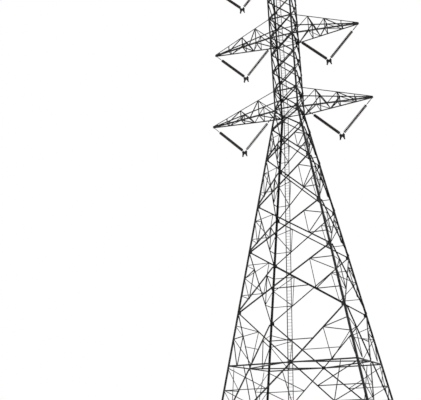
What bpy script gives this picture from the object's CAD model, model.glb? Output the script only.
import math
import random
import bpy
from mathutils import Matrix, Vector


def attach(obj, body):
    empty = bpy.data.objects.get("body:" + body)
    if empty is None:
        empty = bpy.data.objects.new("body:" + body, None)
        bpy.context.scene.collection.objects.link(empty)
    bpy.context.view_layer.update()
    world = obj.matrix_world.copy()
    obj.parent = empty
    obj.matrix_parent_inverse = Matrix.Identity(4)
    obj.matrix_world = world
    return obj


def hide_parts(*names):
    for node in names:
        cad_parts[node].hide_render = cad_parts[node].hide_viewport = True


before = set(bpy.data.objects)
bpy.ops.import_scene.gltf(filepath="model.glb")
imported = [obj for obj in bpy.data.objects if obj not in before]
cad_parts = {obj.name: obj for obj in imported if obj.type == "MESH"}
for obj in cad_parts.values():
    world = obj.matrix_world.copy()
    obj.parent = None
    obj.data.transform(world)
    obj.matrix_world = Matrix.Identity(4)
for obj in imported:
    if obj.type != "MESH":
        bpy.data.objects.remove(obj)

scene = bpy.context.scene
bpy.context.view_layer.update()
print("frame loaded:", len(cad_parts), "nodes")

# main sizes of the tower in metres, as the frame was built
tower = {
    "baseWidth": 7.17, "cageWidth": 1.29, "footingHeight": 0.2, "footNodeUp": 0.15, "belt": 3.6,
    "waist": 16.54, "bodyLevels": [6.0, 8.92, 11.23, 13.75, 15.44, 16.445],
    "cageLevels": [16.615, 17.65, 18.6983, 19.7467, 20.795, 21.905,
                   22.9533, 24.0017, 25.05, 26.16, 27.21, 27.935],
    "gusset": 0.006, "letIn": 0.001, "endGap": 0.015, "beltEnd": 0.075, "beltShare": 0.62,
}
bodyBars = {"leg": 0.1, "legSheet": 0.01, "brace": 0.055, "braceSheet": 0.005, "endBolts": 3}
cageBars = {"leg": 0.08, "legSheet": 0.008, "brace": 0.055, "braceSheet": 0.004, "endBolts": 2}
lightBars = {"sheet": 0.004, "inset": 0.062, "depthStep": 0.0006, "boltIn": 0.012, "crossedPanels": 4}

# each arm's chords at the body, its length from the middle, the tip's two chords and the inner frame
arms = {
    "lower": {"low": 16.54, "high": 17.65, "length": 4.32, "tip": (16.54, 16.59), "frameAt": 2.62},
    "middle": {"low": 20.795, "high": 21.905, "length": 4.005, "tip": (20.795, 20.845), "frameAt": 2.305},
    "upper": {"low": 25.05, "high": 26.16, "length": 4.005, "tip": (25.05, 25.1), "frameAt": 2.305},
    "earth": {"low": 27.21, "high": 27.935, "length": 2.7, "tip": (27.86, 27.935), "frameAt": 1.6725},
}
crossarms = [(arm, side, way) for arm in ("lower", "middle", "upper")
             for side, way in (("right", 1), ("left", -1))]
corners = ["front_right", "back_right", "back_left", "front_left"]
faces = ["front", "right", "back", "left"]
lean = math.atan((tower["baseWidth"] - tower["cageWidth"]) / 2 / (tower["waist"] - tower["footingHeight"]))

# camera, set from the photograph's own lines
view = {"place": (9.172, -34.614, 1.408), "heading": 21.809, "pitch": 16.529, "roll": -2.248,
        "focalPixels": 731.14, "pixelsWide": 421, "sensor": 36, "farEnd": 1000}


def makeCamera():
    data = bpy.data.cameras.new("camera")
    camera = bpy.data.objects.new("camera", data)
    scene.collection.objects.link(camera)
    data.sensor_width = view["sensor"]
    data.lens = view["focalPixels"] * view["sensor"] / view["pixelsWide"]
    data.clip_end = view["farEnd"]
    heading = Matrix.Rotation(math.radians(view["heading"]), 4, "Z")
    pitch = Matrix.Rotation(math.radians(90 + view["pitch"]), 4, "X")
    roll = Matrix.Rotation(math.radians(view["roll"]), 4, "Z")
    camera.matrix_world = Matrix.Translation(view["place"]) @ heading @ pitch @ roll
    scene.camera = camera


makeCamera()


# short ways to write shader nodes
def addNode(tree, kind, values=None, **settings):
    node = tree.nodes.new(kind)
    for key, value in settings.items():
        setattr(node, key, value)
    for key, value in (values or {}).items():
        node.inputs[key].default_value = value
    return node


def feed(tree, item, target):
    if isinstance(item, bpy.types.NodeSocket):
        tree.links.new(item, target)
    elif isinstance(item, tuple):
        target.default_value = (*item, 1)
    else:
        target.default_value = item


def maths(tree, operation, first, second):
    node = addNode(tree, "ShaderNodeMath", operation=operation)
    feed(tree, first, node.inputs[0])
    feed(tree, second, node.inputs[1])
    return node.outputs[0]


def plus(tree, first, second):
    return maths(tree, "ADD", first, second)


def times(tree, first, second):
    return maths(tree, "MULTIPLY", first, second)


def mixColour(tree, factor, first, second):
    node = addNode(tree, "ShaderNodeMix", data_type="RGBA")
    for index, item in ((0, factor), (6, first), (7, second)):
        feed(tree, item, node.inputs[index])
    return node.outputs[2]


# a grain, in the values below, is the scale and the detail of a noise
noiseRough = 0.55


def noise(tree, place, scale, detail):
    node = addNode(tree, "ShaderNodeTexNoise", {"Scale": scale, "Detail": detail, "Roughness": noiseRough})
    tree.links.new(place, node.inputs["Vector"])
    return node.outputs["Fac"]


def stretch(tree, place, scale):
    node = addNode(tree, "ShaderNodeMapping", {"Scale": scale})
    tree.links.new(place, node.inputs["Vector"])
    return node.outputs["Vector"]


# an edge, in the values below, is where a mask starts and where it is full
def step(tree, value, low, high):
    node = addNode(tree, "ShaderNodeMapRange", interpolation_type="SMOOTHSTEP")
    feed(tree, value, node.inputs["Value"])
    feed(tree, low, node.inputs["From Min"])
    feed(tree, high, node.inputs["From Max"])
    return node.outputs["Result"]


def upPart(tree, vector):
    node = addNode(tree, "ShaderNodeSeparateXYZ")
    tree.links.new(vector, node.inputs[0])
    return node.outputs["Z"]


def addRelief(tree, shader, height, strength, distance):
    relief = addNode(tree, "ShaderNodeBump", {"Strength": strength, "Distance": distance})
    tree.links.new(height, relief.inputs["Height"])
    tree.links.new(relief.outputs["Normal"], shader.inputs["Normal"])


def startGroup(name, inputs, outputs):
    tree = bpy.data.node_groups.new(name, "ShaderNodeTree")
    for label, value in inputs.items():
        tree.interface.new_socket(label, in_out="INPUT", socket_type="NodeSocketFloat").default_value = value
    for label in outputs:
        tree.interface.new_socket(label, in_out="OUTPUT", socket_type="NodeSocketFloat")
    place = addNode(tree, "ShaderNodeTexCoord").outputs["Object"]
    return tree, tree.nodes.new("NodeGroupInput").outputs, tree.nodes.new("NodeGroupOutput").inputs, place


def useGroup(tree, name, values):
    node = tree.nodes.new("ShaderNodeGroup")
    node.node_tree = bpy.data.node_groups[name]
    for key, value in values.items():
        node.inputs[key].default_value = value
    return node.outputs


# crystals of the zinc coat, a random shade in each
spangle = {"crystals": 90.0, "shade": 0.9, "cloudGrain": (14.0, 4)}


def makeSpangle():
    tree, given, result, place = startGroup("spangle", {"Crystals": spangle["crystals"]}, ["Shade", "Height"])
    cells = addNode(tree, "ShaderNodeTexVoronoi", {"Randomness": 1.0})
    tree.links.new(place, cells.inputs["Vector"])
    tree.links.new(given["Crystals"], cells.inputs["Scale"])
    grey = addNode(tree, "ShaderNodeSeparateColor")
    tree.links.new(cells.outputs["Color"], grey.inputs["Color"])
    cloud = noise(tree, place, *spangle["cloudGrain"])
    tree.links.new(times(tree, grey.outputs[0], spangle["shade"]), result["Shade"])
    tree.links.new(times(tree, cells.outputs["Distance"], cloud), result["Height"])


# dark runs that rain leaves down the members, and broad dull patches
weathering = {"thin": (22, 22, 0.9), "thinGrain": (1.0, 4), "wide": (5, 5, 0.5), "wideGrain": (1.0, 2),
              "runEdge": (0.2, 0.38), "patchGrain": (2.3, 5), "patchEdge": (0.4, 0.66)}


def makeWeather():
    tree, given, result, place = startGroup("weather", {"Runs": 0.5, "Patches": 0.5}, ["Runs", "Patches"])
    thin = noise(tree, stretch(tree, place, weathering["thin"]), *weathering["thinGrain"])
    wide = noise(tree, stretch(tree, place, weathering["wide"]), *weathering["wideGrain"])
    runs = step(tree, times(tree, thin, wide), *weathering["runEdge"])
    tree.links.new(times(tree, runs, given["Runs"]), result["Runs"])
    blotch = step(tree, noise(tree, place, *weathering["patchGrain"]), *weathering["patchEdge"])
    tree.links.new(times(tree, blotch, given["Patches"]), result["Patches"])


# rust that starts in small spots and spreads in a few places
rusting = {"spotGrain": (38.0, 6), "areaGrain": (1.7, 2), "spotShare": 0.6, "areaShare": 0.5,
           "least": 0.82, "spread": 0.3, "softness": 0.07}


def makeRust():
    tree, given, result, place = startGroup("rust", {"Amount": 0.3}, ["Mask", "Height"])
    spots = noise(tree, place, *rusting["spotGrain"])
    areas = noise(tree, place, *rusting["areaGrain"])
    both = plus(tree, times(tree, spots, rusting["spotShare"]), times(tree, areas, rusting["areaShare"]))
    edge = maths(tree, "SUBTRACT", rusting["least"], times(tree, given["Amount"], rusting["spread"]))
    mask = step(tree, both, edge, plus(tree, edge, rusting["softness"]))
    tree.links.new(mask, result["Mask"])
    tree.links.new(times(tree, mask, spots), result["Height"])


# dust that settles where a surface looks up
dusting = {"slopeEdge": (0.25, 0.95), "grain": (7.0, 5), "least": 0.25}


def makeDust():
    tree, given, result, place = startGroup("dust", {"Amount": 0.5}, ["Mask"])
    normal = addNode(tree, "ShaderNodeNewGeometry").outputs["Normal"]
    upward = step(tree, upPart(tree, normal), *dusting["slopeEdge"])
    grain = plus(tree, noise(tree, place, *dusting["grain"]), dusting["least"])
    tree.links.new(times(tree, times(tree, upward, grain), given["Amount"]), result["Mask"])


makeSpangle()
makeWeather()
makeRust()
makeDust()
print("shader groups built")


def startMaterial(name):
    material = bpy.data.materials.new(name)
    material.use_nodes = True
    tree = material.node_tree
    return material, tree, tree.nodes["Principled BSDF"]


# each steel's clean and dulled zinc, how far it has run, dulled, rusted and gathered dust, and its crystals
steels = {
    "legSteel": {"zinc": (0.022, 0.022, 0.0225), "dull": (0.007, 0.007, 0.007),
                 "runs": 0.75, "patches": 0.8, "rust": 0.36, "dust": 0.35, "crystals": 60.0, "metal": 0.35},
    "braceSteel": {"zinc": (0.026, 0.026, 0.0255), "dull": (0.009, 0.009, 0.0085),
                   "runs": 0.6, "patches": 0.7, "rust": 0.4, "dust": 0.3, "crystals": 80.0, "metal": 0.35},
    "cageSteel": {"zinc": (0.023, 0.023, 0.024), "dull": (0.008, 0.008, 0.008),
                  "runs": 0.55, "patches": 0.75, "rust": 0.32, "dust": 0.3, "crystals": 80.0, "metal": 0.35},
    "armSteel": {"zinc": (0.025, 0.025, 0.0245), "dull": (0.008, 0.008, 0.008),
                 "runs": 0.5, "patches": 0.8, "rust": 0.42, "dust": 0.4, "crystals": 80.0, "metal": 0.35},
    "beltSteel": {"zinc": (0.023, 0.023, 0.0225), "dull": (0.008, 0.0075, 0.007),
                  "runs": 0.55, "patches": 0.6, "rust": 0.4, "dust": 0.5, "crystals": 70.0, "metal": 0.35},
    "ladderSteel": {"zinc": (0.032, 0.032, 0.0315), "dull": (0.016, 0.016, 0.0155), "crystals": 110.0,
                    "runs": 0.35, "patches": 0.55, "rust": 0.35, "dust": 0.3, "metal": 0.4},
    "boltSteel": {"zinc": (0.034, 0.034, 0.033), "dull": (0.015, 0.015, 0.0145),
                  "runs": 0.3, "patches": 0.9, "rust": 0.5, "dust": 0.3, "crystals": 160.0, "metal": 0.5},
    "fittingSteel": {"zinc": (0.02, 0.02, 0.021), "dull": (0.01, 0.01, 0.01),
                     "runs": 0.3, "patches": 0.7, "rust": 0.45, "dust": 0.4, "crystals": 150.0, "metal": 0.5},
    "plateSteel": {"zinc": (0.028, 0.028, 0.028), "dull": (0.009, 0.009, 0.009),
                   "runs": 0.6, "patches": 0.8, "rust": 0.5, "dust": 0.35, "crystals": 70.0, "metal": 0.35},
}
steelFinish = {"bright": 1.8, "runs": (0.008, 0.0075, 0.007), "rust": (0.058, 0.021, 0.009),
               "dust": (0.062, 0.058, 0.051), "specular": 0.2, "rough": 0.42,
               "crystalRough": 0.16, "patchRough": 0.2, "rustRough": 0.3,
               "crystalRelief": 0.3, "relief": 0.35, "reliefDepth": 0.0012}


def makeSteel(name):
    look, finish = steels[name], steelFinish
    material, tree, shader = startMaterial(name)
    shader.inputs["Specular IOR Level"].default_value = finish["specular"]
    crystals = useGroup(tree, "spangle", {"Crystals": look["crystals"]})
    weather = useGroup(tree, "weather", {"Runs": look["runs"], "Patches": look["patches"]})
    rust = useGroup(tree, "rust", {"Amount": look["rust"]})
    dust = useGroup(tree, "dust", {"Amount": look["dust"]})
    bright = tuple(channel * finish["bright"] for channel in look["zinc"])
    colour = mixColour(tree, crystals["Shade"], look["zinc"], bright)
    colour = mixColour(tree, weather["Patches"], colour, look["dull"])
    colour = mixColour(tree, weather["Runs"], colour, finish["runs"])
    colour = mixColour(tree, rust["Mask"], colour, finish["rust"])
    colour = mixColour(tree, dust["Mask"], colour, finish["dust"])
    tree.links.new(colour, shader.inputs["Base Color"])
    rough = plus(tree, times(tree, crystals["Shade"], finish["crystalRough"]), finish["rough"])
    rough = plus(tree, rough, times(tree, weather["Patches"], finish["patchRough"]))
    rough = plus(tree, rough, times(tree, rust["Mask"], finish["rustRough"]))
    tree.links.new(rough, shader.inputs["Roughness"])
    clean = maths(tree, "SUBTRACT", 1.0, rust["Mask"])
    tree.links.new(times(tree, clean, look["metal"]), shader.inputs["Metallic"])
    height = plus(tree, times(tree, crystals["Height"], finish["crystalRelief"]), rust["Height"])
    addRelief(tree, shader, height, finish["relief"], finish["reliefDepth"])
    return material


glaze = {"brown": (0.020, 0.008, 0.005), "dark": (0.008, 0.004, 0.003), "specks": (0.016, 0.008, 0.006),
         "dustColour": (0.06, 0.053, 0.045), "dust": 0.25, "runs": 0.3, "patches": 0.8,
         "cloudGrain": (26.0, 3), "speckGrain": (240.0, 2), "speckEdge": (0.68, 0.74),
         "rough": 0.2, "dustRough": 0.5, "specular": 0.25, "coat": 0.08, "coatRough": 0.12,
         "rippleGrain": (60.0, 2), "relief": 0.12, "reliefDepth": 0.001}


def makeGlaze():
    material, tree, shader = startMaterial("brownGlaze")
    place = addNode(tree, "ShaderNodeTexCoord").outputs["Object"]
    dust = useGroup(tree, "dust", {"Amount": glaze["dust"]})
    weather = useGroup(tree, "weather", {"Runs": glaze["runs"], "Patches": glaze["patches"]})
    colour = mixColour(tree, noise(tree, place, *glaze["cloudGrain"]), glaze["dark"], glaze["brown"])
    colour = mixColour(tree, weather["Patches"], colour, glaze["brown"])
    specks = step(tree, noise(tree, place, *glaze["speckGrain"]), *glaze["speckEdge"])
    colour = mixColour(tree, specks, colour, glaze["specks"])
    colour = mixColour(tree, dust["Mask"], colour, glaze["dustColour"])
    tree.links.new(colour, shader.inputs["Base Color"])
    rough = plus(tree, times(tree, dust["Mask"], glaze["dustRough"]), glaze["rough"])
    tree.links.new(rough, shader.inputs["Roughness"])
    shader.inputs["Specular IOR Level"].default_value = glaze["specular"]
    shader.inputs["Coat Weight"].default_value = glaze["coat"]
    shader.inputs["Coat Roughness"].default_value = glaze["coatRough"]
    addRelief(tree, shader, noise(tree, place, *glaze["rippleGrain"]), glaze["relief"], glaze["reliefDepth"])
    return material


concrete = {
    "pale": (0.40, 0.385, 0.35), "grey": (0.27, 0.262, 0.24), "stone": (0.19, 0.18, 0.165),
    "damp": (0.12, 0.112, 0.095), "moss": (0.085, 0.095, 0.045), "rough": 0.9, "runs": 0.55, "patches": 0.4,
    "cloudGrain": (5.0, 6), "cloudEdge": (0.35, 0.65), "stones": 70.0, "stoneEdge": (0.32, 0.2),
    "bareGrain": (9.0, 2), "bareEdge": (0.5, 0.62), "boards": 130.0, "boardEdge": (0.93, 0.99),
    "boardShade": 0.35, "dampRise": 0.09, "dampEdge": (0.12, 0.04), "dampShade": 0.75,
    "mossGrain": (16.0, 5), "mossEdge": (0.52, 0.66), "sandGrain": (110.0, 5), "sandRelief": 0.6,
    "boardRelief": -0.5, "stoneRelief": 0.15, "relief": 0.6, "reliefDepth": 0.003,
}


def makeConcrete():
    look = concrete
    material, tree, shader = startMaterial("oldConcrete")
    place = addNode(tree, "ShaderNodeTexCoord").outputs["Object"]
    height = upPart(tree, place)
    cloud = noise(tree, place, *look["cloudGrain"])
    colour = mixColour(tree, step(tree, cloud, *look["cloudEdge"]), look["pale"], look["grey"])
    pebbles = addNode(tree, "ShaderNodeTexVoronoi", {"Scale": look["stones"]})
    tree.links.new(place, pebbles.inputs["Vector"])
    stones = step(tree, pebbles.outputs["Distance"], *look["stoneEdge"])
    bare = step(tree, noise(tree, place, *look["bareGrain"]), *look["bareEdge"])
    colour = mixColour(tree, times(tree, stones, bare), colour, look["stone"])
    boards = maths(tree, "SINE", times(tree, height, look["boards"]), 0.0)
    boardLine = step(tree, boards, *look["boardEdge"])
    colour = mixColour(tree, times(tree, boardLine, look["boardShade"]), colour, look["stone"])
    weather = useGroup(tree, "weather", {"Runs": look["runs"], "Patches": look["patches"]})
    colour = mixColour(tree, weather["Runs"], colour, look["damp"])
    wet = step(tree, plus(tree, height, times(tree, cloud, look["dampRise"])), *look["dampEdge"])
    colour = mixColour(tree, times(tree, wet, look["dampShade"]), colour, look["damp"])
    green = times(tree, wet, step(tree, noise(tree, place, *look["mossGrain"]), *look["mossEdge"]))
    colour = mixColour(tree, green, colour, look["moss"])
    tree.links.new(colour, shader.inputs["Base Color"])
    shader.inputs["Roughness"].default_value = look["rough"]
    sand = times(tree, noise(tree, place, *look["sandGrain"]), look["sandRelief"])
    depth = plus(tree, sand, times(tree, boardLine, look["boardRelief"]))
    depth = maths(tree, "SUBTRACT", depth, times(tree, stones, look["stoneRelief"]))
    addRelief(tree, shader, depth, look["relief"], look["reliefDepth"])
    return material


looks = {name: makeSteel(name) for name in steels}
looks["brownGlaze"] = makeGlaze()
looks["oldConcrete"] = makeConcrete()
print("materials built:", len(looks))

# what each node of the frame is finished with, by the end of its name
nodeLooks = {
    "footing": "oldConcrete", "leg": "legSteel", "foot_bracing": "braceSteel", "body_bracing": "braceSteel",
    "cage_bracing": "cageSteel", "cage_plan_bracing": "cageSteel", "crossarm": "armSteel",
    "earth_wire_arms": "armSteel", "v_strings": "brownGlaze", "yoke": "fittingSteel",
    "belt_frame": "beltSteel", "ladder": "ladderSteel",
}


def lookOf(node):
    return next(look for ending, look in nodeLooks.items() if node.endswith(ending))


for name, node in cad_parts.items():
    for slot in node.material_slots:
        slot.material = looks[lookOf(name)]
print("frame nodes finished")


# smooth pieces keep the edges that turn by more than this, in degrees
sharpFrom = 35


# collects many small solids into one mesh
class Shapes:
    def __init__(self):
        self.points, self.sides = [], []

    def add(self, points, sides, place=None):
        start = len(self.points)
        self.points += [place @ point for point in points] if place else list(points)
        self.sides += [tuple(index + start for index in side) for side in sides]

    def build(self, name, look, slot, smooth=False):
        mesh = bpy.data.meshes.new(name)
        mesh.from_pydata([tuple(point) for point in self.points], [], self.sides)
        mesh.materials.append(looks[look])
        if smooth:
            mesh.shade_smooth()
            mesh.set_sharp_from_angle(angle=math.radians(sharpFrom))
        piece = bpy.data.objects.new(name, mesh)
        scene.collection.objects.link(piece)
        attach(piece, "root")
        return piece


# how many sides the round pieces have, and how many steps half a circle has
facets = {"shed": 28, "washer": 20, "cap": 16, "collar": 16, "rod": 14, "stud": 12, "pin": 10,
          "wire": 8, "rivet": 8, "halfCircle": 8}


# a prism or stepped turned shape along Z, from a list of (radius, height)
def turned(profile, count):
    circle = [(math.cos(2 * math.pi * k / count), math.sin(2 * math.pi * k / count)) for k in range(count)]
    points = [Vector((radius * x, radius * y, height)) for radius, height in profile for x, y in circle]
    sides = []
    for low in range(0, (len(profile) - 1) * count, count):
        for k in range(count):
            nextOne = (k + 1) % count
            sides.append((low + k, low + nextOne, low + count + nextOne, low + count + k))
    sides.append(tuple(range(count))[::-1])
    sides.append(tuple(range((len(profile) - 1) * count, len(profile) * count)))
    return points, sides


# the same from a list that starts at the top
def turnedDown(profile, count):
    return turned(profile[::-1], count)


def hexagon(profile):
    return turned(profile, 6)


# a box between two opposite corners
def block(low, high):
    ends = list(zip(low, high))
    points = [Vector((x, y, z)) for z in ends[2] for y in ends[1] for x in ends[0]]
    return points, [(0, 2, 3, 1), (4, 5, 7, 6), (0, 1, 5, 4), (2, 6, 7, 3), (0, 4, 6, 2), (1, 3, 7, 5)]


# a flat sheet that rises along Z from its outline
def plate(outline, thick):
    count = len(outline)
    points = [Vector((x, y, z)) for z in (0, thick) for x, y in outline]
    sides = [tuple(range(count))[::-1], tuple(range(count, 2 * count))]
    sides += [(k, (k + 1) % count, count + (k + 1) % count, count + k) for k in range(count)]
    return points, sides


# a place at a point with Z along an axis, and turned about it
def aimed(point, axis, spin=0.0):
    turn = axis.to_track_quat("Z", "Y").to_matrix().to_4x4()
    return Matrix.Translation(point) @ turn @ Matrix.Rotation(spin, 4, "Z")


# the direction in the scene of a place's own axis
def axisOf(place, axis):
    return (place.to_3x3() @ Vector(axis)).normalized()


# places on the leaning faces of the lower body and on the upright faces of the cage
def faceFrame(face, height, tilt, out):
    turn = Matrix.Rotation(math.radians(90 * face), 4, "Z")
    return turn @ Matrix.Translation((0, -out, height)) @ Matrix.Rotation(math.radians(90) - tilt, 4, "X")


bodyFaces = [faceFrame(face, tower["footingHeight"], lean, tower["baseWidth"] / 2) for face in range(4)]
cageFaces = [faceFrame(face, 0, 0, tower["cageWidth"] / 2) for face in range(4)]


# on a leaning face: how far up it a height lies, its half width there, its nodes and the legs' inner line
def upFace(height):
    return (height - tower["footingHeight"]) / math.cos(lean)


def halfAt(height):
    return tower["baseWidth"] / 2 - math.tan(lean) * (height - tower["footingHeight"])


def bodyNode(height, side=1):
    return Vector((side * (halfAt(height) - bodyBars["leg"] / 2), upFace(height)))


def legPoint(up, side):
    return Vector((side * (tower["baseWidth"] / 2 - up * math.sin(lean) - lightBars["inset"]), up))


def mirrored(spot, side):
    return Vector((side * spot.x, spot.y))


def crossing(low, high):
    return Vector((0, low.y + (high.y - low.y) * abs(low.x) / (abs(low.x) + abs(high.x))))


# how far along a brace its end lies from the node on the leg
def reach(start, end, bars):
    along = (end - start).normalized()
    return (bars["leg"] / 2 + tower["endGap"] + bars["brace"] / 2 * abs(along.y)) / abs(along.x)


# bolts: a hexagon head outside, a nut and the bolt's end inside
bolts = {"head": 0.0087, "headHeight": 0.0065, "chamferUp": 0.8, "chamferIn": 0.82,
         "nutHeight": 0.008, "shank": 0.005, "tail": 0.006, "nutTurn": 0.4, "seed": 7}
chance = random.Random(bolts["seed"])


def boltShape(size):
    radius, rise, nut = bolts["head"] * size, bolts["headHeight"] * size, bolts["nutHeight"] * size
    shank, end = bolts["shank"] * size, (bolts["nutHeight"] + bolts["tail"]) * size
    head = [(radius, 0), (radius, rise * bolts["chamferUp"]), (radius * bolts["chamferIn"], rise)]
    return hexagon(head), hexagon([(radius, 0), (radius, nut)]), hexagon([(shank, nut), (shank, end)])


boltSizes = {"large": boltShape(1.25), "medium": boltShape(1.0), "small": boltShape(0.8)}


def addBolt(shapes, point, axis, grip, size="medium"):
    head, nut, tail = boltSizes[size]
    spin = chance.uniform(0, math.pi / 3)
    shapes.add(*head, aimed(point, axis, spin))
    inner = aimed(point - axis * grip, -axis, spin + bolts["nutTurn"])
    shapes.add(*nut, inner)
    shapes.add(*tail, inner)


# a bolt square to a face of the tower, whose head sits at a depth from the face
def faceBolt(shapes, frameOf, spot, depth, grip, size="medium"):
    addBolt(shapes, frameOf @ Vector((spot.x, spot.y, depth)), axisOf(frameOf, (0, 0, 1)), grip, size)


# where the bolts of the gussets and braces stand, from a node or from a brace's end
rows = {
    "columns": (0.012, -0.028), "body": (-0.085, -0.051, -0.017, 0.017, 0.051, 0.085),
    "waist": (-0.085, -0.045, -0.005, 0.03, 0.062), "foot": (-0.1, -0.05, 0.0, 0.05, 0.1),
    "cageColumns": (0.008, -0.024), "cage": (-0.07, -0.035, 0, 0.035, 0.07),
    "first": 0.018, "pitch": 0.03, "crossing": 0.032, "beltColumns": (0.025, -0.015), "belt": (-0.014, 0.014),
    "beltIn": 0.09, "beltMiddle": (0.03, 0.07, 0.11), "beltBraces": 2,
}


# bolts along a brace, from the end at start towards the other end
def braceBolts(shapes, frameOf, start, other, first, count, outer, inner):
    along = (other - start).normalized()
    for k in range(count):
        faceBolt(shapes, frameOf, start + along * (first + rows["pitch"] * k), outer, outer - inner)


# bolts of a crossed panel: at the four ends of its braces and about their crossing
def crossedPanelBolts(shapes, frameOf, low, high, bars):
    gusset, sheet, back = tower["gusset"], bars["braceSheet"], -bars["legSheet"]
    front, middle = back - tower["letIn"] + sheet, crossing(low, high)
    for side in (1, -1):
        start, end = mirrored(low, -side), mirrored(high, side)
        along, cut = (end - start).normalized(), reach(start, end, bars)
        outer, inner = (back, back - gusset - sheet) if side > 0 else (front, back - gusset)
        for a, b in ((start + along * cut, end), (end - along * cut, start)):
            braceBolts(shapes, frameOf, a, b, rows["first"], bars["endBolts"], outer, inner)
        for way in (-1, 1):
            spot = middle + along * way * rows["crossing"]
            braceBolts(shapes, frameOf, spot, middle + along * way, 0, 1, outer, inner)
    faceBolt(shapes, frameOf, middle, front, gusset + 2 * sheet - 2 * tower["letIn"])


# bolts through a leg, in columns and rows about a node
def legBolts(shapes, frameOf, node, side, columns, rowsUp, grip, size="large"):
    for column in columns:
        for row in rowsUp:
            faceBolt(shapes, frameOf, Vector((node.x + side * column, node.y + row)), 0, grip, size)


# one bolt at each end of a light bar
def lightBolts(shapes, frameOf, start, end, startOuter, endOuter, lap):
    along = (end - start).normalized() * lightBars["boltIn"]
    inner = -bodyBars["legSheet"] - lightBars["sheet"] - lap * lightBars["depthStep"]
    for spot, outer in ((start + along, startOuter), (end - along, endOuter)):
        faceBolt(shapes, frameOf, spot, outer, outer - inner, "small")


# how far along braces, legs and belt the light bars meet them
lightShares = {"tie": 0.59, "brace": 0.4, "leg": 0.25, "foot": (0.33, 0.53, 0.77), "belt": 1.2,
               "crossedLeg": 0.45, "frontTie": 0.38}


# the K panel above the belt and the frames beside each foot
def lowPanelBolts(shapes, frameOf, back, front):
    middle, top = Vector((0, upFace(tower["belt"]))), bodyNode(tower["bodyLevels"][0])
    foot = bodyNode(tower["footingHeight"] + tower["footNodeUp"])
    tie = top.lerp(middle, lightShares["tie"])
    lightBolts(shapes, frameOf, mirrored(tie, -1), tie, front, back, 0)
    for side in (-1, 1):
        upper, lower = (back, front) if side > 0 else (front, back)
        beltSpot = Vector((side * tower["beltShare"] * halfAt(tower["belt"]), middle.y))
        onBrace = mirrored(top, side).lerp(middle, lightShares["brace"])
        onLeg = legPoint((top.y + middle.y) / 2, side)
        high = legPoint(top.lerp(middle, lightShares["leg"]).y, side)
        belowBelt = legPoint(middle.y - 2 * bodyBars["brace"], side)
        spots = [middle.lerp(mirrored(foot, side), share) for share in lightShares["foot"]]
        legSpots = [legPoint(spot.y, side) for spot in spots]
        outBelt = Vector((beltSpot.x * lightShares["belt"], middle.y))
        for start, end, startOuter, endOuter, lap in (
                (onBrace, high, upper, 0, 0), (onBrace, onLeg, upper, 0, 1),
                (onBrace, beltSpot, upper, back, 2), (onLeg, beltSpot, 0, back, 3),
                (spots[0], belowBelt, lower, 0, 0), (spots[0], legSpots[0], lower, 0, 1),
                (spots[1], outBelt, lower, back, 3), (spots[1], legSpots[0], lower, 0, 2),
                (spots[1], legSpots[1], lower, 0, 1),
                (spots[2], legSpots[1], lower, 0, 2), (spots[2], legSpots[2], lower, 0, 0)):
            lightBolts(shapes, frameOf, start, end, startOuter, endOuter, lap)


# the light bars between a crossed panel's braces and its legs
def panelLightBolts(shapes, frameOf, low, high, lowest, back, front):
    middle = crossing(low, high)
    for side in (-1, 1):
        above, below = ((mirrored(spot, side) + middle) / 2 for spot in (high, low))
        rise = middle.y if lowest else above.y + (middle.y - above.y) * lightShares["crossedLeg"]
        onLeg = legPoint(rise, side)
        upper, lower = (back, front) if side > 0 else (front, back)
        if lowest:
            lightBolts(shapes, frameOf, above, legPoint(above.y, side), upper, 0, 0)
        lightBolts(shapes, frameOf, below, legPoint(below.y, side), lower, 0, 0)
        lightBolts(shapes, frameOf, above, onLeg, upper, 0, 1)
        lightBolts(shapes, frameOf, below, onLeg, lower, 0, 2)
        lightBolts(shapes, frameOf, above, below, upper, lower, 3)


# the belt's ends and middle, and the long braces that meet there
def beltBolts(shapes, frameOf, back, front):
    gusset, sheet = tower["gusset"], bodyBars["braceSheet"]
    beltMid, top = Vector((0, upFace(tower["belt"]))), bodyNode(tower["bodyLevels"][0])
    foot = bodyNode(tower["footingHeight"] + tower["footNodeUp"])
    for side in (-1, 1):
        # the two braces that rise to the right lie inside the gussets, the others outside
        for end, inside in ((mirrored(top, side), side > 0), (mirrored(foot, side), side < 0)):
            outer, inner = front, back - gusset
            if inside:
                outer, inner = back - tower["letIn"], back - gusset - sheet
            along = (end - beltMid).normalized()
            near, far = beltMid + along * tower["beltEnd"], end - along * reach(beltMid, end, bodyBars)
            braceBolts(shapes, frameOf, near, end, rows["first"], rows["beltBraces"], outer, inner)
            braceBolts(shapes, frameOf, far, beltMid, rows["first"], bodyBars["endBolts"], outer, inner)
        legBolts(shapes, frameOf, mirrored(foot, side), side, rows["columns"], rows["foot"], gusset - back)
        beltLeg = Vector((side * (halfAt(tower["belt"]) - rows["beltIn"]), beltMid.y))
        grip = sheet - tower["letIn"] / 2 + gusset - back
        legBolts(shapes, frameOf, beltLeg, side, rows["beltColumns"], rows["belt"], grip)
        for out in rows["beltMiddle"]:
            faceBolt(shapes, frameOf, Vector((side * out, beltMid.y)), back - tower["letIn"], gusset + sheet)


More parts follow.
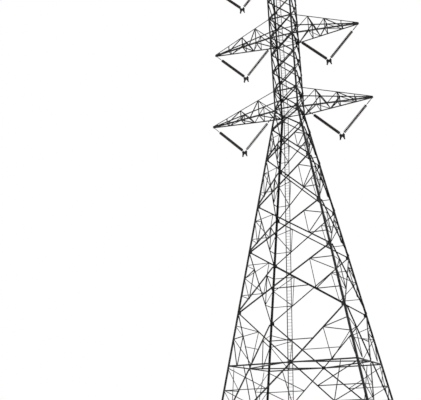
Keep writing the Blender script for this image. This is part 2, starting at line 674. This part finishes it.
def bodyBolts(face):
    shapes, frameOf, levels = Shapes(), bodyFaces[face], tower["bodyLevels"]
    nodes = [bodyNode(level) for level in levels]
    back, grip = -bodyBars["legSheet"], bodyBars["legSheet"] + tower["gusset"]
    front = back - tower["letIn"] + bodyBars["braceSheet"]
    lowPanelBolts(shapes, frameOf, back, front)
    for k, (low, high) in enumerate(zip(nodes, nodes[1:])):
        crossedPanelBolts(shapes, frameOf, low, high, bodyBars)
        if k < lightBars["crossedPanels"]:
            panelLightBolts(shapes, frameOf, low, high, k == 0, back, front)
        if k == 0 and face == 0:
            tie = crossing(low, high).lerp(low, lightShares["frontTie"])
            lightBolts(shapes, frameOf, mirrored(tie, -1), tie, back, front, 0)
    for level in levels:
        rowsUp = rows["waist"] if level == levels[-1] else rows["body"]
        for side in (-1, 1):
            legBolts(shapes, frameOf, bodyNode(level, side), side, rows["columns"], rowsUp, grip)
    beltBolts(shapes, frameOf, back, front)
    shapes.build("bolts_body_" + faces[face], "boltSteel", "tower_steel")


def cageBolts(face):
    shapes, frameOf, grip = Shapes(), cageFaces[face], cageBars["legSheet"] + tower["gusset"]
    nodes = [Vector((tower["cageWidth"] / 2 - cageBars["leg"] / 2, level)) for level in tower["cageLevels"]]
    for low, high in zip(nodes, nodes[1:]):
        crossedPanelBolts(shapes, frameOf, low, high, cageBars)
    for k, node in enumerate(nodes):
        # the gussets at the cage's two ends are half as high, so they lack the row past the end
        rowsUp = rows["cage"][1 if k == 0 else 0:-1 if k == len(nodes) - 1 else None]
        for side in (-1, 1):
            legBolts(shapes, frameOf, mirrored(node, side), side, rows["cageColumns"], rowsUp, grip, "medium")
    shapes.build("bolts_cage_" + faces[face], "boltSteel", "tower_steel")


for face in range(4):
    bodyBolts(face)
    cageBolts(face)
print("body bolts placed")

# crossarms: the same node points as the frame's own members, numbered from the body to the tip
chord = {"sheet": 0.006, "heel": 0.065 / 3, "rootSheet": 0.01, "tipGap": 0.056, "webSheet": 0.004,
         "firstWeb": 0.245, "lap": 0.001, "topBolt": 0.014, "lowBolts": (0.016, 0.042), "webClear": 0.01,
         "tipPlate": 0.007, "tipFirst": 0.02, "tipPitch": 0.05, "tipBolts": 5,
         "rootBolts": (0.024, 0.055), "rootGrip": 0.019, "flatBolt": 0.012, "flatClear": 0.02}


def armPoints(arm):
    size = arms[arm]
    x0, y0 = tower["cageWidth"] / 2 + chord["rootSheet"], tower["cageWidth"] / 2 - cageBars["leg"] / 2
    tipLow, tipHigh = size["tip"]
    run = Vector((size["length"] - x0, chord["tipGap"] / 2 - y0, tipLow - size["low"]))
    first, atFrame = chord["firstWeb"], (size["frameAt"] - x0) / run.x
    shares = [0, first, (first + atFrame) / 2, atFrame, (atFrame + 1) / 2, 1]
    low = [Vector((x0, y0, size["low"])) + run * k for k in shares]
    high = [Vector((p.x, p.y, size["high"] + (tipHigh - size["high"]) * k)) for p, k in zip(low, shares)]
    return low, high, run


# into the arm, square to one of its upright sides
def sideways(run, side):
    return Vector((run.y, -side * run.x, 0)).normalized()


# the bolts of one upright side of a crossarm: webs, tip plate and root plates
def armSideBolts(shapes, low, high, inward, mirror):
    grip = chord["sheet"] + chord["webSheet"] - chord["lap"]
    axis, out = mirror.to_3x3() @ -inward, -inward * chord["heel"]
    webs = [(low[0], high[1]), (high[1], low[1]), (high[1], low[2]), (low[2], high[3]),
            (high[3], low[4]), (low[4], high[4]), (low[3], high[3])]
    for start, end in webs:
        along = (end - start).normalized()
        for near, away in ((start, along), (end, -along)):
            for gap in (chord["topBolt"],) if near in high else chord["lowBolts"]:
                spot = near + away * gap
                if spot.x > low[0].x + chord["webClear"]:
                    addBolt(shapes, mirror @ (spot + out), axis, grip, "small")
    for points in (low, high):
        along = (points[4] - points[5]).normalized()
        for k in range(chord["tipBolts"]):
            spot = points[5] + along * (chord["tipFirst"] + chord["tipPitch"] * k)
            addBolt(shapes, mirror @ (spot + out), axis, chord["sheet"] + chord["tipPlate"])
    across, up = chord["rootBolts"]
    for root in (low[0], high[0]):
        for y in (-across, across):
            for z in (-up, up):
                spot = mirror @ Vector((root.x + chord["lap"], root.y + y, root.z + z))
                addBolt(shapes, spot, mirror.to_3x3() @ Vector((1, 0, 0)), chord["rootGrip"])


def armBolts(arm, way):
    shapes = Shapes()
    low, high, run = armPoints(arm)
    mirror = Matrix.Diagonal((way, 1, 1, 1))
    for side in (-1, 1):
        sideLow, sideHigh = ([Vector((p.x, side * p.y, p.z)) for p in points] for points in (low, high))
        armSideBolts(shapes, sideLow, sideHigh, sideways(run, side), mirror)
    down = Vector((run.z, 0, -run.x)).normalized()
    axis, grip = mirror.to_3x3() @ down, chord["sheet"] + chord["webSheet"] - chord["lap"]
    other = [Vector((p.x, -p.y, p.z)) for p in low]
    flat = [(other[k], low[k]) for k in (1, 2, 3, 4)]
    flat += [(low[0], other[1]), (other[1], low[2]), (low[2], other[3]), (other[3], low[4])]
    for start, end in flat:
        along = (end - start).normalized() * chord["flatBolt"]
        for spot in (start + along, end - along):
            if spot.x > low[0].x + chord["flatClear"]:
                addBolt(shapes, mirror @ (spot + down * chord["heel"]), axis, grip, "small")
    return shapes


for arm, side, way in crossarms:
    armBolts(arm, way).build("bolts_" + arm + "_" + side + "_arm", "boltSteel", "tower_steel")
earthBolts = armBolts("earth", 1)
otherBolts = armBolts("earth", -1)
earthBolts.add(otherBolts.points, otherBolts.sides)
earthBolts.build("bolts_earth_wire_arms", "boltSteel", "tower_steel")
print("crossarm bolts placed")

# V-strings of cap-and-pin discs, in place of the frame's plainer turned strings
strings = {"halfWidth": 1.7, "lugDrop": 0.045, "yokePin": 0.075, "drop": 1.72, "discs": 24, "pitch": 0.073,
           "lowerFitting": 0.074, "discTurn": 0.7, "lugThick": 0.016, "yokeThick": 0.012}
fork = {"cheek": 0.006, "halfWidth": 0.0155, "gap": 0.0005, "length": 0.030, "bridge": (0.032, 0.044),
        "headTurn": 0.3, "nutTurn": 0.8, "pin": 0.0078, "pinOut": 0.011, "pinTip": (0.006, 0.0125)}
link = {"halfWidth": 0.016, "thick": 0.005, "out": 0.0145, "face": 0.017, "top": 0.093, "bottom": 0.075,
        "nutTurn": 0.5}

# their turned profiles, each as a list of (radius, height)
discProfiles = {
    "shed": [(0.022, -0.012), (0.030, -0.0155), (0.045, -0.018), (0.059, -0.0225), (0.069, -0.0295),
             (0.0755, -0.039), (0.0798, -0.050), (0.0798, -0.0595), (0.0762, -0.0605), (0.072, -0.0540),
             (0.067, -0.0655), (0.063, -0.0655), (0.058, -0.0540), (0.051, -0.0670), (0.046, -0.0670),
             (0.040, -0.0540), (0.010, -0.0500)],
    "cap": [(0.011, 0.001), (0.0165, -0.001), (0.0185, -0.009), (0.0225, -0.018), (0.0265, -0.027),
            (0.0270, -0.0335), (0.0230, -0.0345)],
    "pin": [(0.0075, -0.048), (0.0075, -0.066), (0.0110, -0.069), (0.0110, -0.0745)],
}
rodProfiles = {
    "forkHead": [(0.013, 0), (0.013, 0.0065), (0.0105, 0.008)], "forkNut": [(0.013, 0), (0.013, 0.006)],
    "linkHead": [(0.0115, 0), (0.0115, 0.0055), (0.009, 0.007)], "linkNut": [(0.0115, 0), (0.0115, 0.0055)],
    "linkPin": [(0.0065, -0.034), (0.0065, 0.009)],
    "eyeRod": [(0.0095, -0.036), (0.0095, -0.075), (0.013, -0.082), (0.013, -0.104), (0.009, -0.110)],
    "ballRod": [(0.009, 0.094), (0.013, 0.088), (0.013, 0.064), (0.009, 0.056),
                (0.009, 0.006), (0.014, -0.001)],
    "lowRod": [(0.0145, 0.0765), (0.0145, 0.058), (0.0095, 0.05), (0.0095, 0.034)],
}


# a flat strap with round ends, lying across Y, between two heights
def strap(high, low, halfWidth, thick):
    outline, steps = [], facets["halfCircle"]
    for centre, start in ((high, 0), (low, math.pi)):
        for k in range(steps + 1):
            angle = start + math.pi * k / steps
            outline.append((halfWidth * math.cos(angle), centre + halfWidth * math.sin(angle)))
    points, sides = plate(outline, thick)
    turn = Matrix.Rotation(math.radians(90), 4, "X")
    return [turn @ point + Vector((0, thick / 2, 0)) for point in points], sides


def addStrap(shapes, place, y, high, low, halfWidth, thick):
    shapes.add(*strap(high, low, halfWidth, thick), place @ Matrix.Translation((0, y, 0)))


# a clevis over a plate: two cheeks, their bridge, and the bolt with its head and nut
def addFork(shapes, place, plateThick, way):
    gap, width, cheek = plateThick / 2 + fork["gap"], fork["halfWidth"], fork["cheek"]
    high, low = fork["length"] * max(way, 0), fork["length"] * min(way, 0)
    for side in (-1, 1):
        addStrap(shapes, place, side * (gap + cheek / 2), high, low, width, cheek)
    half = gap + cheek
    low, high = sorted(edge * way for edge in fork["bridge"])
    shapes.add(*block((-width, -half, low), (width, half, high)), place)
    axis, back = axisOf(place, (0, 1, 0)), place @ Vector((0, -half, 0))
    pin = [(fork["pin"], -half * 2), (fork["pin"], fork["pinOut"]), fork["pinTip"]]
    shapes.add(*hexagon(rodProfiles["forkHead"]), aimed(place @ Vector((0, half, 0)), axis, fork["headTurn"]))
    shapes.add(*hexagon(rodProfiles["forkNut"]), aimed(back, -axis, fork["nutTurn"]))
    shapes.add(*turned(pin, facets["stud"]), aimed(back, -axis))


# an eye rod below the fork, two long straps, then the ball rod that enters the first cap
def addLink(shapes, place, first):
    low = link["bottom"] - first
    shapes.add(*turnedDown(rodProfiles["eyeRod"], facets["rod"]), place)
    for y in (-link["out"], link["out"]):
        addStrap(shapes, place, y, -link["top"], low, link["halfWidth"], link["thick"])
    axis = axisOf(place, (0, 1, 0))
    for height in (-link["top"], low):
        front, back = (place @ Vector((0, y, height)) for y in (link["face"], -link["face"]))
        shapes.add(*hexagon(rodProfiles["linkHead"]), aimed(front, axis))
        shapes.add(*hexagon(rodProfiles["linkNut"]), aimed(back, -axis, link["nutTurn"]))
        shapes.add(*turned(rodProfiles["linkPin"], facets["pin"]), aimed(back, -axis))
    shapes.add(*turnedDown(rodProfiles["ballRod"], facets["rod"]), place @ Matrix.Translation((0, 0, -first)))


# for both strings of a V, a place at its lug with Z along the string, and its length
def stringPlaces(arm, way):
    size, inset = arms[arm], strings["lugDrop"] + strings["yokePin"]
    run = Vector((strings["halfWidth"] - inset, strings["drop"] - inset))
    centre = Vector((way * (size["length"] - strings["halfWidth"]), 0, size["low"]))
    for side in (-1, 1):
        top = centre + Vector((side * (strings["halfWidth"] - strings["lugDrop"]), 0, -strings["lugDrop"]))
        yield Matrix.Translation(top) @ Matrix.Rotation(side * math.atan2(run.x, run.y), 4, "Y"), run.length


def makeStrings(arm, side, way):
    glazed, metal = Shapes(), Shapes()
    shed, cap, pin = (turnedDown(discProfiles[part], facets[part]) for part in ("shed", "cap", "pin"))
    for place, length in stringPlaces(arm, way):
        first = length - strings["lowerFitting"] - strings["discs"] * strings["pitch"]
        for k in range(strings["discs"]):
            down = Matrix.Translation((0, 0, -first - k * strings["pitch"]))
            at = place @ down @ Matrix.Rotation(k * strings["discTurn"], 4, "Z")
            glazed.add(*shed, at)
            metal.add(*cap, at)
            metal.add(*pin, at)
        bottom = place @ Matrix.Translation((0, 0, -length))
        addFork(metal, place, strings["lugThick"], -1)
        addFork(metal, bottom, strings["yokeThick"], 1)
        addLink(metal, place, first)
        metal.add(*turnedDown(rodProfiles["lowRod"], facets["rod"]), bottom)
    name = arm + "_" + side
    sheds = glazed.build("insulator_discs_" + name, "brownGlaze", "glazed_insulator", True)
    fittings = metal.build("insulator_metal_" + name, "fittingSteel", "fittings", True)
    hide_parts(name + "_v_strings")
    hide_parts(name + "_v_strings")


for arm, side, way in crossarms:
    makeStrings(arm, side, way)
print("insulator strings built")

# clamps below the yokes: U-bolts with keepers and nuts, collars at the ends, and the yoke's own bolts
clamps = {"bundle": 0.225, "yokeDrop": 0.1, "hoopOut": 0.032, "hoop": 0.0235, "wire": 0.004, "hoopLeg": 0.018,
          "keeper": (0.032, 0.009), "keeperLow": -0.0215, "keeperHigh": -0.0165, "nutTurn": 0.2,
          "nut": [(0.0085, 0), (0.0085, 0.007)], "thread": [(0.004, 0), (0.004, 0.013)],
          "collar": [(0.017, 0.04), (0.0225, 0.048), (0.0225, 0.056), (0.017, 0.062)],
          "yokeHead": [(0.0085, 0), (0.0085, 0.0055), (0.007, 0.0068)], "yokeBolt": 0.036, "headTurn": 0.4,
          "pinHead": [(0.006, 0), (0.006, 0.004)], "pinRise": 0.033}


# a U-bolt standing on its legs, of round wire
def hoop(radius, wire, leg):
    steps, count = facets["halfCircle"], facets["wire"]
    angles = [math.pi * k / steps for k in range(steps + 1)]
    path = [Vector((radius * math.cos(angle), 0, radius * math.sin(angle))) for angle in angles]
    path = [Vector((radius, 0, -leg))] + path + [Vector((-radius, 0, -leg))]
    points, sides, aside = [], [], Vector((0, 1, 0))
    for k, spot in enumerate(path):
        along = (path[min(k + 1, len(path) - 1)] - path[max(k - 1, 0)]).normalized()
        across = along.cross(aside)
        for j in range(count):
            angle = 2 * math.pi * j / count
            points.append(spot + (across * math.cos(angle) + aside * math.sin(angle)) * wire)
    for low in range(0, (len(path) - 1) * count, count):
        for j in range(count):
            nextOne = (j + 1) % count
            sides.append((low + j, low + count + j, low + count + nextOne, low + nextOne))
    sides += [tuple(range(count)), tuple(range((len(path) - 1) * count, len(path) * count))[::-1]]
    return points, sides


# a U-bolt over its keeper, with a nut under each leg
def addHoop(shapes, middle, size):
    (long, wide), downward = size["keeper"], Vector((0, 0, -1))
    shapes.add(*hoop(size["hoop"], size["wire"], size["hoopLeg"]), Matrix.Translation(middle))
    keeper = block((-long, -wide, size["keeperLow"]), (long, wide, size["keeperHigh"]))
    shapes.add(*keeper, Matrix.Translation(middle))
    for x in (-size["hoop"], size["hoop"]):
        under = middle + Vector((x, 0, size["keeperLow"]))
        shapes.add(*hexagon(size["nut"]), aimed(under, downward, size["nutTurn"]))
        if "thread" in size:
            shapes.add(*turned(size["thread"], facets["wire"]), aimed(under, downward))


# two U-bolts on one wire's clamp, the collars at its ends, and its bolts through the yoke
def addClamp(shapes, spot):
    for end in (-1, 1):
        addHoop(shapes, spot + Vector((0, end * clamps["hoopOut"], 0)), clamps)
        shapes.add(*turned(clamps["collar"], facets["collar"]), aimed(spot, Vector((0, end, 0))))
    for end in (-1, 1):
        for away in (-clamps["yokeBolt"], clamps["yokeBolt"]):
            point = spot + Vector((0, end * strings["yokeThick"] / 2, away))
            shapes.add(*hexagon(clamps["yokeHead"]), aimed(point, Vector((0, end, 0)), clamps["headTurn"]))


def makeClamps(arm, side, way):
    shapes, size, half = Shapes(), arms[arm], clamps["bundle"] / 2
    centre = Vector((way * (size["length"] - strings["halfWidth"]), 0, size["low"] - strings["drop"]))
    for x in (-half, half):
        for z in (-half, half):
            addClamp(shapes, centre + Vector((x, 0, z - clamps["yokeDrop"])))
    for x in (-strings["yokePin"], strings["yokePin"]):
        for end in (-1, 1):
            rise = strings["yokePin"] - clamps["pinRise"]
            point = centre + Vector((x, end * strings["yokeThick"] / 2, rise))
            shapes.add(*hexagon(clamps["pinHead"]), aimed(point, Vector((0, end, 0))))
    shapes.build("clamp_bolts_" + arm + "_" + side, "boltSteel", "fittings")


for arm, side, way in crossarms:
    makeClamps(arm, side, way)
print("conductor clamps fitted")

# feet: anchor bolts with washers and double nuts, and ribs between leg and base plate
feet = {"middle": 3.535, "boltOut": 0.11, "nutTurn": 0.35, "ribThick": 0.008, "ribOut": 0.078, "ribUp": 0.12,
        "ribEdge": 0.014, "ribTop": 0.018, "ribIn": 0.003}
anchorProfiles = {
    "washer": [(0.0215, 0), (0.0215, 0.0035)], "nut": [(0.0165, 0.0035), (0.0165, 0.0165), (0.0145, 0.018)],
    "lockNut": [(0.0165, 0.0185), (0.0165, 0.027), (0.0145, 0.0285)],
    "stud": [(0.0095, 0), (0.0095, 0.046), (0.0075, 0.049)],
}


def makeFoot(corner):
    shapes, middle, top, out = Shapes(), feet["middle"], tower["footingHeight"], feet["boltOut"]
    turn = Matrix.Rotation(math.radians(90 * corner), 4, "Z")
    for x in (-out, out):
        for y in (-out, out):
            spin = Matrix.Rotation(chance.uniform(0, 1), 4, "Z")
            at = turn @ Matrix.Translation((middle + x, y - middle, top)) @ spin
            shapes.add(*turned(anchorProfiles["washer"], facets["washer"]), at)
            shapes.add(*hexagon(anchorProfiles["nut"]), at)
            shapes.add(*hexagon(anchorProfiles["lockNut"]), at @ Matrix.Rotation(feet["nutTurn"], 4, "Z"))
            shapes.add(*turned(anchorProfiles["stud"], facets["stud"]), at)
    back = -feet["ribIn"] - math.tan(lean) * feet["ribUp"]
    outline = [(-feet["ribIn"], 0), (feet["ribOut"], 0), (feet["ribOut"], feet["ribEdge"]),
               (back + feet["ribTop"], feet["ribUp"]), (back, feet["ribUp"])]
    rib, half, halfThick = plate(outline, feet["ribThick"]), bodyBars["leg"] / 2, feet["ribThick"] / 2
    upright, across = Matrix.Rotation(math.radians(90), 4, "X"), Matrix.Rotation(math.radians(-90), 4, "Z")
    shapes.add(*rib, turn @ Matrix.Translation((middle + half, halfThick - middle, top)) @ upright)
    shapes.add(*rib, turn @ Matrix.Translation((middle + halfThick, -middle - half, top)) @ across @ upright)
    shapes.build("anchor_bolts_" + corners[corner], "boltSteel", "tower_steel")


for corner in range(4):
    makeFoot(corner)

# cover plates where the lengths of each leg are spliced, with their bolts
splices = {"body": (6.42, 11.62), "cage": (19.22, 23.478), "bodyHalf": 0.19, "cageHalf": 0.15, "sheet": 0.005,
           "inset": 0.007, "boltRows": 8, "rowShare": 0.94, "columns": (0.32, 0.72)}


def spliceCover(covers, heads, frameOf, edge, slope, side, up, half, bars):
    inset, width, sheet, halfRows = splices["inset"], bars["leg"], splices["sheet"], splices["boltRows"] / 2
    outline = [(side * (edge - slope * (up + v) - across), up + v) for v, across in
               ((-half, inset), (-half, width - inset), (half, width - inset), (half, inset))]
    covers.add(*plate(outline if side < 0 else outline[::-1], sheet), frameOf)
    for row in range(splices["boltRows"]):
        v = half * ((row + 0.5) / halfRows - 1) * splices["rowShare"]
        for column in splices["columns"]:
            spot = Vector((side * (edge - slope * (up + v) - column * width), up + v))
            faceBolt(heads, frameOf, spot, sheet, sheet + bars["legSheet"])


def makeSplices(face):
    covers, heads = Shapes(), Shapes()
    for side in (-1, 1):
        for level in splices["body"]:
            spliceCover(covers, heads, bodyFaces[face], tower["baseWidth"] / 2, math.sin(lean), side,
                        upFace(level), splices["bodyHalf"], bodyBars)
        for level in splices["cage"]:
            spliceCover(covers, heads, cageFaces[face], tower["cageWidth"] / 2, 0, side,
                        level, splices["cageHalf"], cageBars)
    covers.build("splice_covers_" + faces[face], "plateSteel", "tower_steel")
    heads.build("splice_bolts_" + faces[face], "boltSteel", "tower_steel")


for face in range(4):
    makeSplices(face)
print("feet and splices built")

# ladder: the stiles' outer flanges, bolts at the straps, and the rungs' ends, which are riveted over
ladder = {"width": 0.19, "stile": 0.012, "depth": 0.025, "flange": 0.024, "flangeSheet": 0.003, "lap": 0.001,
          "proud": 0.0002, "pitch": 0.15, "bodyOut": 0.054, "cageOut": 0.056, "cageLow": 16.5,
          "cageTop": 27.21, "cageStraps": 10, "strapBolts": (-0.012, 0.012), "strapIn": 0.006,
          "rivet": [(0.0078, -0.001), (0.0078, 0.0012), (0.005, 0.0026)]}


def ladderPart(shapes, frameOf, out, low, high, rungs, straps):
    side, front = ladder["width"] / 2 + ladder["stile"] / 2, out + ladder["depth"]
    for way in (-1, 1):
        edge, toe = sorted((way * (side - ladder["lap"]), way * (side + ladder["flange"])))
        near, far = (edge, low, front - ladder["flangeSheet"]), (toe, high, front + ladder["proud"])
        shapes.add(*block(near, far), frameOf)
        axis = axisOf(frameOf, (way, 0, 0))
        for v in rungs:
            spot = frameOf @ Vector((way * side, v, out + ladder["depth"] / 2))
            shapes.add(*turned(ladder["rivet"], facets["rivet"]), aimed(spot, axis))
        for v in straps:
            for rise in ladder["strapBolts"]:
                spot = frameOf @ Vector((way * side, v + rise, out + ladder["strapIn"]))
                addBolt(shapes, spot, axis, ladder["stile"], "small")


def makeLadder():
    shapes, pitch = Shapes(), ladder["pitch"]
    nodes = [bodyNode(level) for level in tower["bodyLevels"]]
    foot, waist = upFace(0), upFace(tower["bodyLevels"][-1])
    count = int((waist - pitch / 2 - foot) / pitch)
    straps = [crossing(low, high).y for low, high in zip(nodes, nodes[1:])] + [upFace(tower["belt"])]
    rungs = [foot + pitch * (k + 1) for k in range(count)]
    ladderPart(shapes, bodyFaces[0], ladder["bodyOut"], foot + ladder["lap"], waist, rungs, straps)
    cage, first = tower["cageLevels"], ladder["cageLow"] + pitch / 2
    count = int((ladder["cageTop"] - first) / pitch) + 1
    straps = [(cage[k] + cage[k + 1]) / 2 for k in range(ladder["cageStraps"])]
    rungs = [first + pitch * k for k in range(count)]
    ladderPart(shapes, cageFaces[0], ladder["cageOut"], ladder["cageLow"], ladder["cageTop"], rungs, straps)
    shapes.build("ladder_flanges_and_bolts", "ladderSteel", "ladder_steel")


makeLadder()

# small gussets on the crossarms' nodes, at the inner face of the chords
nodePlates = {"half": 0.05, "low": 0.06, "narrow": 0.7, "edge": 0.01, "sheet": 0.003, "lap": 0.0005,
              "top": (1, 3), "bottom": (2, 3, 4)}


def makeArmPlates(arm, side, way):
    shapes, half = Shapes(), nodePlates["half"]
    low, high, run = armPoints(arm)
    mirror = Matrix.Diagonal((way, 1, 1, 1))
    narrow, tall, edge = half * nodePlates["narrow"], nodePlates["low"], -nodePlates["edge"]
    shape = plate([(-half, edge), (half, edge), (narrow, tall), (-narrow, tall)], nodePlates["sheet"])
    back = chord["heel"] - chord["sheet"] - nodePlates["lap"]
    for hand in (-1, 1):
        inward = sideways(run, hand)
        for points, nodes, up in ((high, nodePlates["top"], -1), (low, nodePlates["bottom"], 1)):
            for k in nodes:
                spot = Vector((points[k].x, hand * points[k].y, points[k].z)) - inward * back
                along = (points[k] - points[k - 1]).normalized()
                along = Vector((along.x, hand * along.y, along.z))
                across = inward.cross(along) * (1 if inward.cross(along).z * up > 0 else -1)
                place = Matrix((along, across, inward)).transposed().to_4x4()
                shapes.add(*shape, mirror @ Matrix.Translation(spot) @ place)
    shapes.build("node_plates_" + arm + "_" + side, "plateSteel", "tower_steel")


for arm, side, way in crossarms:
    makeArmPlates(arm, side, way)

# a hanging clamp under the tip of each earth-wire arm
earthClamp = {"drop": 0.007, "hanger": ((-0.03, -0.006, -0.042), (0.03, 0.006, 0.001)), "boatDrop": 0.048,
              "boat": [(0.008, -0.07), (0.0115, -0.045), (0.0135, 0), (0.0115, 0.045), (0.008, 0.07)],
              "hoopOut": 0.026, "hoop": 0.016, "wire": 0.003, "hoopLeg": 0.014,
              "keeper": (0.023, 0.007), "keeperLow": -0.0175, "keeperHigh": -0.0135,
              "nut": [(0.0062, 0), (0.0062, 0.005)], "nutTurn": 0,
              "head": [(0.0062, 0), (0.0062, 0.004)], "headOut": 0.015, "headIn": 0.006, "headDrop": 0.02}


def addEarthClamp(shapes, way):
    size = earthClamp
    tip = Vector((way * arms["earth"]["length"], 0, arms["earth"]["tip"][0] - chord["heel"] - size["drop"]))
    middle = tip + Vector((0, 0, -size["boatDrop"]))
    shapes.add(*block(*size["hanger"]), Matrix.Translation(tip))
    shapes.add(*turned(size["boat"], facets["rod"]), aimed(middle, Vector((0, 1, 0))))
    for end in (-1, 1):
        addHoop(shapes, middle + Vector((0, end * size["hoopOut"], 0)), size)
        for x in (-size["headOut"], size["headOut"]):
            spot = tip + Vector((x, end * size["headIn"], -size["headDrop"]))
            shapes.add(*hexagon(size["head"]), aimed(spot, Vector((0, end, 0))))


earthClamps = Shapes()
for way in (-1, 1):
    addEarthClamp(earthClamps, way)
earthClamps.build("earth_wire_clamps", "fittingSteel", "fittings")
print("ladder, node plates and earth-wire clamps fitted")

# pale floor, and a soft studio light from all round with one broad key and a fill
studio = {"floor": (0.62, 0.62, 0.62), "floorRough": 0.85, "floorSize": 60.0, "around": 0.5,
          "key": {"strength": 1.6, "angle": 12, "tilt": 48, "turn": 35},
          "fill": {"strength": 0.5, "angle": 30, "tilt": 62, "turn": -80}}


def makeWorld():
    world = bpy.data.worlds.new("studio")
    scene.world = world
    world.use_nodes = True
    tree = world.node_tree
    tree.nodes.clear()
    path = addNode(tree, "ShaderNodeLightPath").outputs
    seen = maths(tree, "MAXIMUM", path["Is Camera Ray"], path["Is Glossy Ray"])
    seen = maths(tree, "MAXIMUM", seen, path["Is Transmission Ray"])
    strength = plus(tree, times(tree, seen, 1 - studio["around"]), studio["around"])
    backdrop = addNode(tree, "ShaderNodeBackground", {"Color": (1, 1, 1, 1)})
    tree.links.new(strength, backdrop.inputs["Strength"])
    tree.links.new(backdrop.outputs[0], addNode(tree, "ShaderNodeOutputWorld").inputs["Surface"])


def makeSun(name):
    light = studio[name]
    data = bpy.data.lights.new(name, "SUN")
    data.energy = light["strength"]
    data.angle = math.radians(light["angle"])
    sun = bpy.data.objects.new(name, data)
    sun.rotation_euler = (math.radians(light["tilt"]), 0, math.radians(light["turn"]))
    scene.collection.objects.link(sun)


def makeFloor():
    half = studio["floorSize"] / 2
    mesh = bpy.data.meshes.new("floor")
    ring = [(-half, -half, 0), (half, -half, 0), (half, half, 0), (-half, half, 0)]
    mesh.from_pydata(ring, [], [(0, 1, 2, 3)])
    floor = bpy.data.objects.new("floor", mesh)
    scene.collection.objects.link(floor)
    material, tree, shader = startMaterial("paleFloor")
    shader.inputs["Base Color"].default_value = (*studio["floor"], 1)
    shader.inputs["Roughness"].default_value = studio["floorRough"]
    mesh.materials.append(material)


makeWorld()
makeSun("key")
makeSun("fill")
makeFloor()
scene.view_settings.view_transform = "Standard"
print("studio set")
